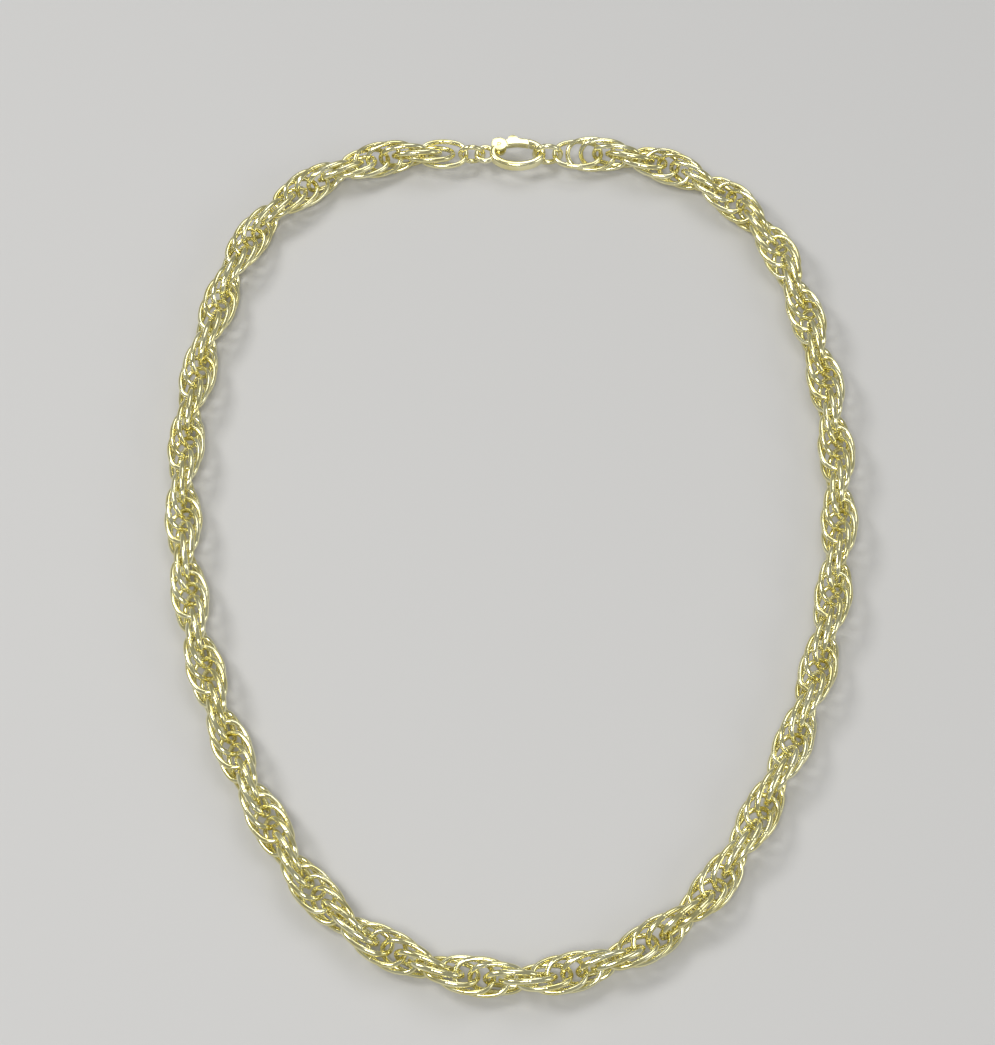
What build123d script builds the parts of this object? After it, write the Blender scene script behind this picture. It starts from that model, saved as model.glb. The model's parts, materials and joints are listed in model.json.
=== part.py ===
"""A rope-twist chain necklace lying flat in a closed loop, with a lobster-claw clasp at the back.

Millimetres. X runs across the necklace, Y from its front to the clasp, Z up from the surface that it lies on.
Every link is an oval ring of round wire. The middle of each link is one pitch further along the loop than the
link before it, and its plane is turned by a twelfth of a turn about the chain's own line, so that each link passes
through the three ahead of it and the three behind it, and the rows of link sides wind round the chain like a rope.
"""

from build123d import *
import math
import os

# Chain
WIRE = 1.05
LINK_WIDTH = 8.0
LINK_PITCH = 2.96
LINK_REACH = 3
LINK_PLAY = 0.5
LINK_END_RADIUS = 3.1
TWIST_STEP = 30.0
LINKS_IN_FRONT = 7
LINKS_IN_SEGMENT = 6
SEGMENTS_A_SIDE = 14

# Loop: three tangent arcs a side, then the straight run that the clasp closes
LOOP_FRONT_Y = -98.844
FRONT_RADIUS = 50.0
FRONT_TURN = 57.0
SIDE_RADIUS = 166.8
SIDE_TURN = 51.0
BACK_RADIUS = 45.0

# Clasp
RING_GAP = 0.25
JUMP_RING_WIRE = 1.1
JUMP_RING_OUTER = 6.2
CATCH_RING_WIRE = 1.2
CATCH_RING_OUTER = 7.0
CLAW_THICKNESS = 2.4
CLAW_BAND = 1.6
CLAW_WIDTH = 8.2
CLAW_EDGE_RADIUS = 0.7
TAIL_WIRE = 1.2
TAIL_HOLE_RADIUS = 1.3
LEVER_THICKNESS = 1.7
KNUCKLE_THICKNESS = 0.9
KNUCKLE_RADIUS = 1.2
CHEEK_RADIUS = 1.7
SLOT_HEIGHT = 1.1
SLOT_RADIUS = 1.95
PIN_RADIUS = 0.4
PIN_CLEARANCE = 0.05
SPRING_WIRE = 0.34
SPRING_BOW_RADIUS = 1.57
SPRING_START = 75.0
SPRING_TURN = 90.0
LEVER_INSET = 0.25
THUMB_ANGLE = 100.0
THUMB_STRETCH = 1.12
THUMB_RADIUS = 1.1
ARM_WIDTH = 1.3
ARM_RISE = 0.25
ARM_TILT = 15.0
PIVOT_ANGLE = 140.0
TIP_ANGLE = 62.0
TIP_GAP = 0.15
SECTOR_ANGLE = 30.0

# Worked out from the sizes above
LINK_LENGTH = LINK_REACH * LINK_PITCH + 2 * WIRE + LINK_PLAY
HALF_LENGTH = (LINK_LENGTH - WIRE) / 2
HALF_WIDTH = (LINK_WIDTH - WIRE) / 2
AXIS_HEIGHT = LINK_WIDTH / 2
LINKS_LEFT = LINKS_IN_SEGMENT * SEGMENTS_A_SIDE
LINKS = 2 * LINKS_LEFT + LINKS_IN_FRONT

os.makedirs("parts", exist_ok=True)

# One side of the loop, from the front centre to the middle of the clasp

with BuildLine() as half_loop:
    front = JernArc((0, LOOP_FRONT_Y), (1, 0), FRONT_RADIUS, FRONT_TURN)
    side = JernArc(front @ 1, front % 1, SIDE_RADIUS, SIDE_TURN)
    back = JernArc(side @ 1, side % 1, BACK_RADIUS, 180 - FRONT_TURN - SIDE_TURN)
    clasp_run = Line(back @ 1, (0, (back @ 1).Y))

loop_side = half_loop.wire()
CLASP_Y = (clasp_run @ 1).Y
LINK_TIP_X = loop_side.length - (LINKS - 1) / 2 * LINK_PITCH - HALF_LENGTH - WIRE / 2


def link_plane(number):
    """The plane of link 1 to LINKS, counted along the loop from the clasp's left side: X along it, Y across it."""
    distance = (number - (LINKS + 1) / 2) * LINK_PITCH
    point = loop_side.position_at(abs(distance), position_mode=PositionMode.LENGTH)
    along = loop_side.tangent_at(abs(distance), position_mode=PositionMode.LENGTH)
    if distance < 0:
        point = Vector(-point.X, point.Y)
        along = Vector(along.X, -along.Y)
    across = Vector(0, 0, 1).cross(along)
    turned = across.rotate(Axis((0, 0, 0), along), TWIST_STEP * (number - 1))
    return Plane(point + Vector(0, 0, AXIS_HEIGHT), x_dir=along, z_dir=along.cross(turned))


# One link: round wire along an oval of two end arcs and two flatter side arcs

end_x = HALF_LENGTH - LINK_END_RADIUS
SIDE_ARC_RADIUS = (end_x**2 + HALF_WIDTH**2 - LINK_END_RADIUS**2) / (2 * (HALF_WIDTH - LINK_END_RADIUS))
side_y = SIDE_ARC_RADIUS - HALF_WIDTH
END_HALF_TURN = math.degrees(math.atan2(side_y, end_x))
SIDE_ARC_TURN = 180 - 2 * END_HALF_TURN

with BuildPart() as link:
    with BuildLine() as oval:
        CenterArc((end_x, 0), LINK_END_RADIUS, -END_HALF_TURN, 2 * END_HALF_TURN)
        CenterArc((0, -side_y), SIDE_ARC_RADIUS, END_HALF_TURN, SIDE_ARC_TURN)
        CenterArc((-end_x, 0), LINK_END_RADIUS, 180 - END_HALF_TURN, 2 * END_HALF_TURN)
        CenterArc((0, side_y), SIDE_ARC_RADIUS, 180 + END_HALF_TURN, SIDE_ARC_TURN)
    with BuildSketch(oval.wire() ^ 0):
        Circle(WIRE / 2)
    sweep(path=oval.wire())


def chain_piece(name, first, count):
    """Writes one length of chain: count links, each a solid of its own, from link number first on."""
    with BuildPart() as piece:
        for number in range(first, first + count):
            with Locations(link_plane(number).location):
                add(link.part)
    piece.part.label = name
    export_step(piece.part, f"parts/{name}.step")


chain_piece("front_links", LINKS_LEFT + 1, LINKS_IN_FRONT)
for segment in range(1, SEGMENTS_A_SIDE + 1):
    links_before = LINKS_IN_SEGMENT * (segment - 1)
    chain_piece(f"right_links_{segment:02d}", LINKS_LEFT + LINKS_IN_FRONT + links_before + 1, LINKS_IN_SEGMENT)
    chain_piece(f"left_links_{segment:02d}", LINKS_LEFT - links_before - LINKS_IN_SEGMENT + 1, LINKS_IN_SEGMENT)

# Rings at the two ends of the chain, upright, each through the last link of its side

link_hole_x = LINK_TIP_X + WIRE
jump_ring_x = -(link_hole_x + RING_GAP + JUMP_RING_WIRE - JUMP_RING_OUTER / 2)
catch_ring_x = link_hole_x + RING_GAP + CATCH_RING_WIRE - CATCH_RING_OUTER / 2

with BuildPart(Plane((jump_ring_x, CLASP_Y, AXIS_HEIGHT), z_dir=(0, 1, 0))) as jump_ring:
    Torus((JUMP_RING_OUTER - JUMP_RING_WIRE) / 2, JUMP_RING_WIRE / 2)
jump_ring.part.label = "jump_ring"
export_step(jump_ring.part, "parts/jump_ring.step")

with BuildPart(Plane((catch_ring_x, CLASP_Y, AXIS_HEIGHT), z_dir=(0, 1, 0))) as catch_ring:
    Torus((CATCH_RING_OUTER - CATCH_RING_WIRE) / 2, CATCH_RING_WIRE / 2)
catch_ring.part.label = "catch_ring"
export_step(catch_ring.part, "parts/catch_ring.step")

# Claw: an oval band lying flat, open on its back edge where the lever closes it, and a round eye at its tail.
# The tip is cut to an arc about the lever's pivot, so that the lever swings in past it.

tail_wire_x = jump_ring_x + JUMP_RING_OUTER / 2 - JUMP_RING_WIRE - RING_GAP
tail_x = tail_wire_x + TAIL_HOLE_RADIUS
nose_inner_x = catch_ring_x - CATCH_RING_OUTER / 2 + CATCH_RING_WIRE + RING_GAP
nose_x = nose_inner_x + CLAW_BAND
claw_left_x = tail_x + TAIL_HOLE_RADIUS - CLAW_EDGE_RADIUS / 2
claw_x = (nose_x + claw_left_x) / 2
outer_a = (nose_x - claw_left_x) / 2
outer_b = CLAW_WIDTH / 2
inner_a = outer_a - CLAW_BAND
inner_b = outer_b - CLAW_BAND
middle_a = outer_a - CLAW_BAND / 2
middle_b = outer_b - CLAW_BAND / 2
claw_plane = Plane((claw_x, CLASP_Y, AXIS_HEIGHT))


def on_band(angle, stretch=1.0):
    """A point on the band's middle line, at this angle of its ellipse, in the claw's own plane."""
    turn = math.radians(angle)
    return (stretch * middle_a * math.cos(turn), stretch * middle_b * math.sin(turn))


pivot = on_band(PIVOT_ANGLE)
tip_reach = math.dist(pivot, on_band(TIP_ANGLE))
pivot_plane = Plane((claw_x + pivot[0], CLASP_Y + pivot[1], AXIS_HEIGHT))

with BuildPart() as claw_body:
    with BuildSketch(claw_plane.offset(-CLAW_THICKNESS / 2)):
        Ellipse(outer_a, outer_b)
        Ellipse(inner_a, inner_b, mode=Mode.SUBTRACT)
    extrude(amount=CLAW_THICKNESS)
    fillet(claw_body.faces().filter_by(Axis.Z).edges(), CLAW_EDGE_RADIUS)
    with BuildSketch(claw_plane.offset(-CLAW_THICKNESS)):
        with BuildLine():
            Polyline((0, 0), on_band(SECTOR_ANGLE, 2), on_band(90, 2), on_band(PIVOT_ANGLE, 2), close=True)
        make_face()
        with Locations(pivot):
            Circle(tip_reach, mode=Mode.INTERSECT)
    extrude(amount=2 * CLAW_THICKNESS, mode=Mode.SUBTRACT)
    with Locations((tail_x, CLASP_Y, AXIS_HEIGHT)):
        Torus(TAIL_HOLE_RADIUS + TAIL_WIRE / 2, TAIL_WIRE / 2)
    with BuildSketch(pivot_plane.offset(-CLAW_THICKNESS / 2)):
        Circle(CHEEK_RADIUS)
    extrude(amount=CLAW_THICKNESS)
    with BuildSketch(pivot_plane.offset(-SLOT_HEIGHT / 2)):
        Circle(SLOT_RADIUS)
    extrude(amount=SLOT_HEIGHT, mode=Mode.SUBTRACT)
    with BuildSketch(pivot_plane.offset(-CLAW_THICKNESS / 2)):
        Circle(PIN_RADIUS)
    extrude(amount=CLAW_THICKNESS, mode=Mode.SUBTRACT)
claw_body.part.label = "claw_body"
export_step(claw_body.part, "parts/claw_body.step")

# Lever: a disc between the cheeks, turning on the pin, and a thicker bar that closes the gap inside the claw's tip

with BuildPart() as claw_lever:
    with BuildSketch(claw_plane.offset(-LEVER_THICKNESS / 2)):
        Ellipse(outer_a - LEVER_INSET, outer_b - LEVER_INSET)
        Ellipse(inner_a, inner_b, mode=Mode.SUBTRACT)
        with BuildLine():
            Polyline((0, 0), on_band(SECTOR_ANGLE, 2), on_band(90, 2), on_band(PIVOT_ANGLE, 2), close=True)
        make_face(mode=Mode.INTERSECT)
        with Locations(pivot):
            Circle(tip_reach - TIP_GAP, mode=Mode.INTERSECT)
        with Locations(on_band(THUMB_ANGLE, THUMB_STRETCH)):
            Circle(THUMB_RADIUS)
        with Locations(pivot):
            Circle(SLOT_RADIUS, mode=Mode.SUBTRACT)
    extrude(amount=LEVER_THICKNESS)
    with BuildSketch(pivot_plane.offset(-KNUCKLE_THICKNESS / 2)):
        Circle(KNUCKLE_RADIUS)
        with Locations((SLOT_RADIUS / 2, ARM_RISE)):
            Rectangle(SLOT_RADIUS + ARM_WIDTH, ARM_WIDTH, rotation=ARM_TILT)
    extrude(amount=KNUCKLE_THICKNESS)
    with BuildSketch(pivot_plane.offset(-LEVER_THICKNESS / 2)):
        Circle(PIN_RADIUS + PIN_CLEARANCE)
    extrude(amount=LEVER_THICKNESS, mode=Mode.SUBTRACT)
claw_lever.part.label = "claw_lever"
export_step(claw_lever.part, "parts/claw_lever.step")

# Pin through both cheeks, and the bow spring that pushes the lever shut

with BuildPart() as lever_pin:
    with BuildSketch(pivot_plane.offset(-CLAW_THICKNESS / 2)):
        Circle(PIN_RADIUS)
    extrude(amount=CLAW_THICKNESS)
lever_pin.part.label = "lever_pin"
export_step(lever_pin.part, "parts/lever_pin.step")

with BuildPart() as lever_spring:
    with BuildLine(pivot_plane) as bow:
        CenterArc((0, 0), SPRING_BOW_RADIUS, SPRING_START, SPRING_TURN)
    with BuildSketch(bow.wire() ^ 0):
        Circle(SPRING_WIRE / 2)
    sweep(path=bow.wire())
lever_spring.part.label = "lever_spring"
export_step(lever_spring.part, "parts/lever_spring.step")
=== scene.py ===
"""A rope-twist chain necklace lying on a pale table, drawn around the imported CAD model. Metres, +Z up.

Every link and ring is read back from the CAD node that it stands for: its middle, its three directions and
its sizes. A finer mesh takes its place, with a soldered joint or a cut. The claw, its lever and its pin are
the CAD shapes with rounded edges, and the spring is the CAD shape itself.
"""

import bmesh
import bpy
import json
import math

import numpy as np
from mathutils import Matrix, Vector


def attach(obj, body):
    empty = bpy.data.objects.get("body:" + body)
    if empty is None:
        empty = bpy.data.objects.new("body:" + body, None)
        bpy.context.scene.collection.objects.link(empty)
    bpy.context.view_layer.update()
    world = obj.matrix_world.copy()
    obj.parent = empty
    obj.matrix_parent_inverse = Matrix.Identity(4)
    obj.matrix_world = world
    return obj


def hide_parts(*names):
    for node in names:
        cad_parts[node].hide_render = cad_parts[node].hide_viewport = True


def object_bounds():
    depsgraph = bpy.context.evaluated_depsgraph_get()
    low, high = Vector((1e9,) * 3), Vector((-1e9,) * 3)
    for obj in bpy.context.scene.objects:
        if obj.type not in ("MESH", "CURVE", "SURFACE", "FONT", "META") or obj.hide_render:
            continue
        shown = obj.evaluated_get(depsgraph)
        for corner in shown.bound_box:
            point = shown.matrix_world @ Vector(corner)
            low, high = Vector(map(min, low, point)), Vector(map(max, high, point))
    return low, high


MM = 0.001
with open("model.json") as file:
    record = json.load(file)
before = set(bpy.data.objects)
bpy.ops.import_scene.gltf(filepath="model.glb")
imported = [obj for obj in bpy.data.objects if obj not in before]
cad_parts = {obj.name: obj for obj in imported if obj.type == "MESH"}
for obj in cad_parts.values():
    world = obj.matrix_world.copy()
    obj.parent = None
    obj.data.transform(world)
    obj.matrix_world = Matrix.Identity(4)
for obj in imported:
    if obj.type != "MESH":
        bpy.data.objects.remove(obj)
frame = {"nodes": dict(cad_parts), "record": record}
cad_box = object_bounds()
nodes = frame["nodes"]
body_of = {node: body for body, names in frame["record"]["behaviour"]["bodies"].items() for node in names}

# Links: end arc radius as a share of the half width, and how much broader than thick the wire is
END_ROUNDNESS = 0.892
WIRE_FLATNESS = 1.16
SAME_POINT_DECIMALS = 8

# Mesh steps: round each arc of a link, round a whole ring, round the wire, and through a seam or a cut
ARC_STEPS = 18
RING_STEPS = 4 * ARC_STEPS
WIRE_STEPS = 20
SEAM_STEPS = 8
CUT_STEPS = 12

# Soldered seam of a link and open cut of a jump ring
SEAM_WIDTH = 0.30 * MM
SEAM_BULGE = 0.03 * MM
SEAM_DEPTH = 0.045 * MM
CUT_DEPTH = 2.5 * SEAM_DEPTH
GROOVE_WIDTH = SEAM_WIDTH / 4
FINE_REACH = 3.0 * SEAM_WIDTH
COARSE_START = 3.5 * SEAM_WIDTH

# Cast clasp parts
WELD = 0.0005 * MM
EDGE_ROUND = 0.14 * MM
EDGE_SEGMENTS = 3
FLAT_ANGLE = math.radians(0.5)
SHARP_ANGLE = math.radians(50)
SMOOTH_ANGLE = math.radians(40)

# Gold: noise scales are in repeats a metre
TONE_SCALE = 260.0
DEEP_UNTIL = 0.35
PALE_FROM = 0.62
HAZE_SCALE = 900.0
HAZE_LOW = 0.3
HAZE_HIGH = 0.7
GLOSSIER = 0.04
DULLER = 0.07
SCRATCH_DISTORTION = 1.5
SCRATCH_STRENGTH = 0.10
SCRATCH_DEPTH = 0.05 * MM

# Spring steel
STEEL_ROUGHNESS = 0.3
STEEL_SCALE = 2500.0
STEEL_DARK = (0.42, 0.42, 0.44)
STEEL_LIGHT = (0.70, 0.70, 0.72)

# Table and studio
TABLE_SIZE = 6.0
TABLE_DROP = 0.02 * MM
TABLE_COLOUR = (0.62, 0.61, 0.59)
TABLE_ROUGHNESS = 0.7
STUDIO_COLOUR = (0.80, 0.82, 0.85)
STUDIO_STRENGTH = 0.36

# Camera
VIEW_DISTANCE = 0.600
VIEW_ELEVATION = math.radians(60)
FRAME_WIDTH_AT_MIDDLE = 0.2075
SENSOR_WIDTH = 36.0
NEAREST = 0.01
AIM = Vector((-2.9 * MM, 2.0 * MM, 3.5 * MM))


def islands(obj):
    """The points of each separate solid in a CAD node."""
    mesh = obj.data
    points = np.empty(len(mesh.vertices) * 3)
    mesh.vertices.foreach_get("co", points)
    points = points.reshape(-1, 3)
    merged, where = np.unique(np.round(points, SAME_POINT_DECIMALS), axis=0, return_inverse=True)
    where = where.ravel()
    edges = np.empty(len(mesh.edges) * 2, dtype=np.int64)
    mesh.edges.foreach_get("vertices", edges)
    edges = where[edges.reshape(-1, 2)]
    label = np.arange(len(merged))
    while True:
        low = np.minimum(label[edges[:, 0]], label[edges[:, 1]])
        new = label.copy()
        np.minimum.at(new, edges[:, 0], low)
        np.minimum.at(new, edges[:, 1], low)
        new = new[new]
        if (new == label).all():
            break
        label = new
    return [merged[label == value] for value in np.unique(label)]


def ring_frame(points):
    """Middle, long, wide and thin directions of a ring-shaped solid, and its size along each."""
    _, axes = np.linalg.eigh(np.cov((points - points.mean(0)).T))
    directions = axes.T[::-1]
    along = points @ directions.T
    middle = ((along.max(0) + along.min(0)) / 2) @ directions
    size = along.max(0) - along.min(0)
    round_the_loop = np.array([-middle[1], middle[0], 0])
    if directions[0] @ round_the_loop < 0:
        directions[0] = -directions[0]
    if directions[1][2] < 0:
        directions[1] = -directions[1]
    directions[2] = np.cross(directions[0], directions[1])
    return middle, directions, size


def oval_path(length, width):
    """Closed centreline of a link in its own plane: points, outward directions and distances from its seam.

    Two end arcs joined by two flatter side arcs; the seam is at the middle of the first side arc."""
    half_length, half_width = length / 2, width / 2
    end_radius = END_ROUNDNESS * half_width
    end_x = half_length - end_radius
    side_radius = (end_x**2 + half_width**2 - end_radius**2) / (2 * (half_width - end_radius))
    side_y = side_radius - half_width
    half_turn = math.atan2(side_y, end_x)
    side_angle = math.pi - 2 * half_turn
    spread = np.linspace(-1, 1, SEAM_STEPS)
    near_seam = math.pi / 2 + spread * np.abs(spread) * FINE_REACH / side_radius
    coarse = np.linspace(half_turn, math.pi - half_turn, ARC_STEPS, endpoint=False)
    coarse = coarse[np.abs(coarse - math.pi / 2) > COARSE_START / side_radius]
    seam_side = np.sort(np.concatenate([coarse, near_seam]))
    plain_side = np.linspace(0, side_angle, ARC_STEPS, endpoint=False) + math.pi + half_turn
    end_turns = np.linspace(0, 2 * half_turn, ARC_STEPS, endpoint=False)
    arcs = [
        ((end_x, 0), end_radius, end_turns - half_turn),
        ((0, -side_y), side_radius, seam_side),
        ((-end_x, 0), end_radius, end_turns + math.pi - half_turn),
        ((0, side_y), side_radius, plain_side),
    ]
    points = np.vstack([
        np.column_stack([cx + radius * np.cos(turns), cy + radius * np.sin(turns)])
        for (cx, cy), radius, turns in arcs
    ])
    outward = np.vstack([np.column_stack([np.cos(turns), np.sin(turns)]) for _, _, turns in arcs])
    from_seam = np.where(points[:, 1] > 0, np.abs(points[:, 0]), length)
    return points, outward, from_seam


def round_path(diameter):
    """Closed circular centreline of a jump ring, with its cut where the circle starts."""
    radius = diameter / 2
    spread = np.linspace(-1, 1, CUT_STEPS)
    near_cut = spread * np.abs(spread) * FINE_REACH / radius
    coarse = np.linspace(near_cut[-1], 2 * math.pi + near_cut[0], RING_STEPS)[1:-1]
    turns = np.concatenate([near_cut, coarse])
    outward = np.column_stack([np.cos(turns), np.sin(turns)])
    points = outward * radius
    from_cut = np.abs(np.sin(turns / 2)) * diameter
    return points, outward, from_cut


def wire_ring(path, placed, wire, bulge, groove, flatness=1.0):
    """Vertices and faces of wire bent along a closed flat path, with a bulge and a groove at its seam.

    The wire is round, or broader by the given flatness in the direction across the path's plane."""
    middle, (along, wide, thin), _ = placed
    points, outward, from_seam = path
    radii = wire / 2 + bulge * np.exp(-((from_seam / SEAM_WIDTH) ** 2))
    radii = radii - groove * np.exp(-((from_seam / GROOVE_WIDTH) ** 2))
    turns = np.linspace(0, 2 * math.pi, WIRE_STEPS, endpoint=False)
    centres = middle + points[:, :1] * along + points[:, 1:] * wide
    out = outward[:, :1] * along + outward[:, 1:] * wide
    across = flatness * thin
    section = np.cos(turns)[None, :, None] * out[:, None, :] + np.sin(turns)[None, :, None] * across
    vertices = (centres[:, None, :] + radii[:, None, None] * section).reshape(-1, 3)
    count = len(points)
    faces = []
    for ring in range(count):
        following = (ring + 1) % count
        for step in range(WIRE_STEPS):
            next_step = (step + 1) % WIRE_STEPS
            faces.append((
                ring * WIRE_STEPS + step,
                following * WIRE_STEPS + step,
                following * WIRE_STEPS + next_step,
                ring * WIRE_STEPS + next_step,
            ))
    return vertices, faces


def new_piece(name, shells, material):
    """One mesh object made of several closed shells, each a pair of vertices and faces."""
    vertices, faces, first = [], [], 0
    for shell_vertices, shell_faces in shells:
        vertices.append(shell_vertices)
        faces.extend(tuple(first + corner for corner in face) for face in shell_faces)
        first += len(shell_vertices)
    mesh = bpy.data.meshes.new(name)
    mesh.from_pydata(np.vstack(vertices).tolist(), [], faces)
    mesh.validate()
    mesh.shade_smooth()
    piece = bpy.data.objects.new(name, mesh)
    bpy.context.scene.collection.objects.link(piece)
    piece.data.materials.append(material)
    return piece


def softened(node, material):
    """A copy of a CAD part with its sharp edges rounded over, as tumbling leaves a cast part."""
    mesh = nodes[node].data.copy()
    mesh.transform(nodes[node].matrix_world)
    form = bmesh.new()
    form.from_mesh(mesh)
    bmesh.ops.remove_doubles(form, verts=form.verts, dist=WELD)
    bmesh.ops.dissolve_limit(form, angle_limit=FLAT_ANGLE, verts=form.verts, edges=form.edges)
    sharp = [edge for edge in form.edges if edge.is_manifold and edge.calc_face_angle() > SHARP_ANGLE]
    bmesh.ops.bevel(
        form,
        geom=sharp,
        offset=EDGE_ROUND,
        segments=EDGE_SEGMENTS,
        profile=0.5,
        affect="EDGES",
        clamp_overlap=True,
    )
    bmesh.ops.triangulate(form, faces=form.faces)
    form.to_mesh(mesh)
    form.free()
    mesh.materials.clear()
    mesh.materials.append(material)
    mesh.shade_smooth()
    mesh.set_sharp_from_angle(angle=SMOOTH_ANGLE)
    piece = bpy.data.objects.new(f"{node}_cast", mesh)
    bpy.context.scene.collection.objects.link(piece)
    return piece


def stand_for(piece, node):
    """Puts a drawn piece in a CAD node's place, on the node's body."""
    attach(piece, body_of[node])
    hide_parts(node)


# Materials


def metal(name):
    """A new metal material, as its node tree and its surface shader."""
    material = bpy.data.materials.new(name)
    material.use_nodes = True
    surface = material.node_tree.nodes["Principled BSDF"]
    surface.inputs["Metallic"].default_value = 1.0
    return material, material.node_tree, surface


def noise(tree, scale, detail=2.0):
    """Noise through the object's own space, at this scale."""
    pattern = tree.nodes.new("ShaderNodeTexNoise")
    pattern.inputs["Scale"].default_value = scale
    pattern.inputs["Detail"].default_value = detail
    place = tree.nodes.new("ShaderNodeTexCoord")
    tree.links.new(place.outputs["Object"], pattern.inputs["Vector"])
    return pattern


def gold(name, pale, deep, roughness, scratch_scale):
    """Polished pale gold: slow drifts of tone, a faint uneven haze and fine scratches."""
    material, tree, surface = metal(name)

    tone = noise(tree, TONE_SCALE, detail=3.0)
    colours = tree.nodes.new("ShaderNodeValToRGB")
    colours.color_ramp.elements[0].position = DEEP_UNTIL
    colours.color_ramp.elements[0].color = (*deep, 1)
    colours.color_ramp.elements[1].position = PALE_FROM
    colours.color_ramp.elements[1].color = (*pale, 1)
    tree.links.new(tone.outputs["Fac"], colours.inputs["Fac"])
    tree.links.new(colours.outputs["Color"], surface.inputs["Base Color"])

    haze = noise(tree, HAZE_SCALE, detail=5.0)
    gloss = tree.nodes.new("ShaderNodeMapRange")
    gloss.inputs["From Min"].default_value = HAZE_LOW
    gloss.inputs["From Max"].default_value = HAZE_HIGH
    gloss.inputs["To Min"].default_value = roughness - GLOSSIER
    gloss.inputs["To Max"].default_value = roughness + DULLER
    tree.links.new(haze.outputs["Fac"], gloss.inputs["Value"])
    tree.links.new(gloss.outputs["Result"], surface.inputs["Roughness"])

    scratches = noise(tree, scratch_scale, detail=6.0)
    scratches.inputs["Distortion"].default_value = SCRATCH_DISTORTION
    bump = tree.nodes.new("ShaderNodeBump")
    bump.inputs["Strength"].default_value = SCRATCH_STRENGTH
    bump.inputs["Distance"].default_value = SCRATCH_DEPTH
    tree.links.new(scratches.outputs["Fac"], bump.inputs["Height"])
    tree.links.new(bump.outputs["Normal"], surface.inputs["Normal"])
    return material


def spring_steel():
    """Bare drawn steel with a fine grain."""
    material, tree, surface = metal("spring_steel")
    surface.inputs["Roughness"].default_value = STEEL_ROUGHNESS
    grain = noise(tree, STEEL_SCALE)
    colours = tree.nodes.new("ShaderNodeValToRGB")
    colours.color_ramp.elements[0].color = (*STEEL_DARK, 1)
    colours.color_ramp.elements[1].color = (*STEEL_LIGHT, 1)
    tree.links.new(grain.outputs["Fac"], colours.inputs["Fac"])
    tree.links.new(colours.outputs["Color"], surface.inputs["Base Color"])
    return material


CHAIN_GOLD = gold(
    "chain_gold",
    pale=(0.97, 0.93, 0.59),
    deep=(0.84, 0.76, 0.34),
    roughness=0.13,
    scratch_scale=3200.0,
)
CLASP_GOLD = gold(
    "clasp_gold",
    pale=(0.97, 0.92, 0.58),
    deep=(0.85, 0.77, 0.35),
    roughness=0.18,
    scratch_scale=2600.0,
)

# Chain: each link drawn again at its solid's own place

for node in sorted(name for name in nodes if "links" in name):
    shells = []
    for points in islands(nodes[node]):
        placed = ring_frame(points)
        length, width, wire = placed[2]
        path = oval_path(length - wire, width - wire)
        shells.append(wire_ring(path, placed, wire, SEAM_BULGE, SEAM_DEPTH, WIRE_FLATNESS))
    stand_for(new_piece(f"{node}_wire", shells, CHAIN_GOLD), node)

# Rings at the clasp

for node in ("jump_ring", "catch_ring"):
    placed = ring_frame(islands(nodes[node])[0])
    diameter, _, wire = placed[2]
    shell = wire_ring(round_path(diameter - wire), placed, wire, 0.0, CUT_DEPTH)
    stand_for(new_piece(f"{node}_wire", [shell], CLASP_GOLD), node)

# Claw, lever and pin with rounded edges; the spring keeps its CAD shape

for node in ("claw_body", "claw_lever", "lever_pin"):
    stand_for(softened(node, CLASP_GOLD), node)
for slot in nodes["lever_spring"].material_slots:
    slot.material = spring_steel()

# Table, lights and camera


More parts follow.
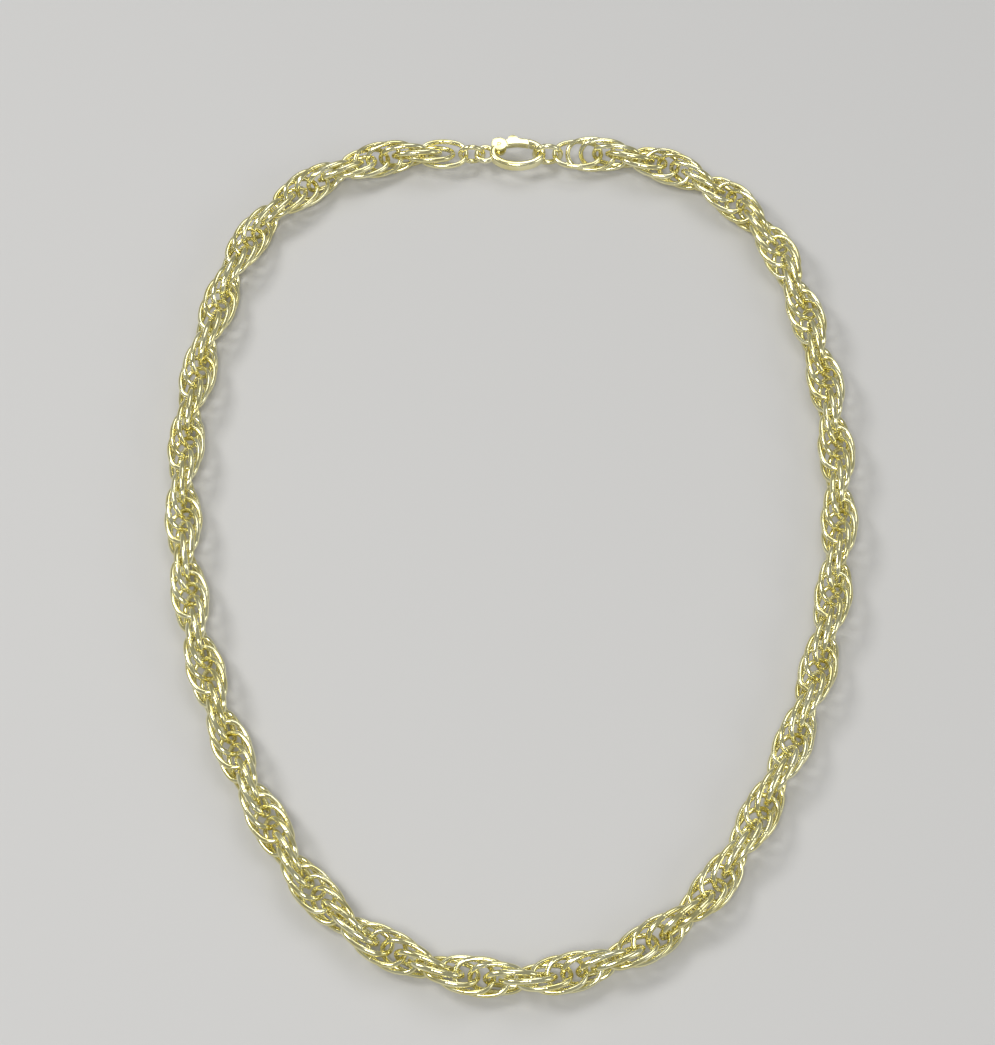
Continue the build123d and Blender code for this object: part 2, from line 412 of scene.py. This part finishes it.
def table():
    """A flat painted table top just under the necklace."""
    mesh = bpy.data.meshes.new("table")
    half = TABLE_SIZE / 2
    corners = [(-half, -half, 0), (half, -half, 0), (half, half, 0), (-half, half, 0)]
    mesh.from_pydata(corners, [], [(0, 1, 2, 3)])
    floor = bpy.data.objects.new("table", mesh)
    bpy.context.scene.collection.objects.link(floor)
    material = bpy.data.materials.new("table_paint")
    material.use_nodes = True
    surface = material.node_tree.nodes["Principled BSDF"]
    surface.inputs["Base Color"].default_value = (*TABLE_COLOUR, 1)
    surface.inputs["Roughness"].default_value = TABLE_ROUGHNESS
    floor.data.materials.append(material)
    floor.location.z = cad_box[0][2] - TABLE_DROP


def softbox(name, place, size, power):
    """A square lamp at this place, turned to the middle of the necklace."""
    lamp = bpy.data.lights.new(name, "AREA")
    lamp.shape = "SQUARE"
    lamp.size = size
    lamp.energy = power
    holder = bpy.data.objects.new(name, lamp)
    bpy.context.scene.collection.objects.link(holder)
    holder.location = place
    holder.rotation_euler = (-Vector(place)).to_track_quat("-Z", "Y").to_euler()


table()
softbox("front", place=(-0.08, -0.50, 0.85), size=0.30, power=3.2)
softbox("key", place=(-0.60, 0.15, 0.70), size=0.26, power=2.6)
softbox("fill", place=(0.75, -0.25, 0.45), size=0.40, power=1.0)
softbox("back", place=(0.08, 0.60, 0.80), size=0.50, power=1.8)

world = bpy.data.worlds.new("studio")
world.use_nodes = True
background = world.node_tree.nodes["Background"]
background.inputs["Color"].default_value = (*STUDIO_COLOUR, 1)
background.inputs["Strength"].default_value = STUDIO_STRENGTH
bpy.context.scene.world = world
bpy.context.scene.view_settings.view_transform = "Standard"

camera = bpy.data.cameras.new("camera")
camera.sensor_fit = "HORIZONTAL"
camera.sensor_width = SENSOR_WIDTH
camera.lens = SENSOR_WIDTH * VIEW_DISTANCE / FRAME_WIDTH_AT_MIDDLE
camera.clip_start = NEAREST
viewer = bpy.data.objects.new("camera", camera)
bpy.context.scene.collection.objects.link(viewer)
towards_viewer = Vector((0, -math.cos(VIEW_ELEVATION), math.sin(VIEW_ELEVATION)))
viewer.location = AIM + VIEW_DISTANCE * towards_viewer
viewer.rotation_euler = (AIM - viewer.location).to_track_quat("-Z", "Y").to_euler()
bpy.context.scene.camera = viewer
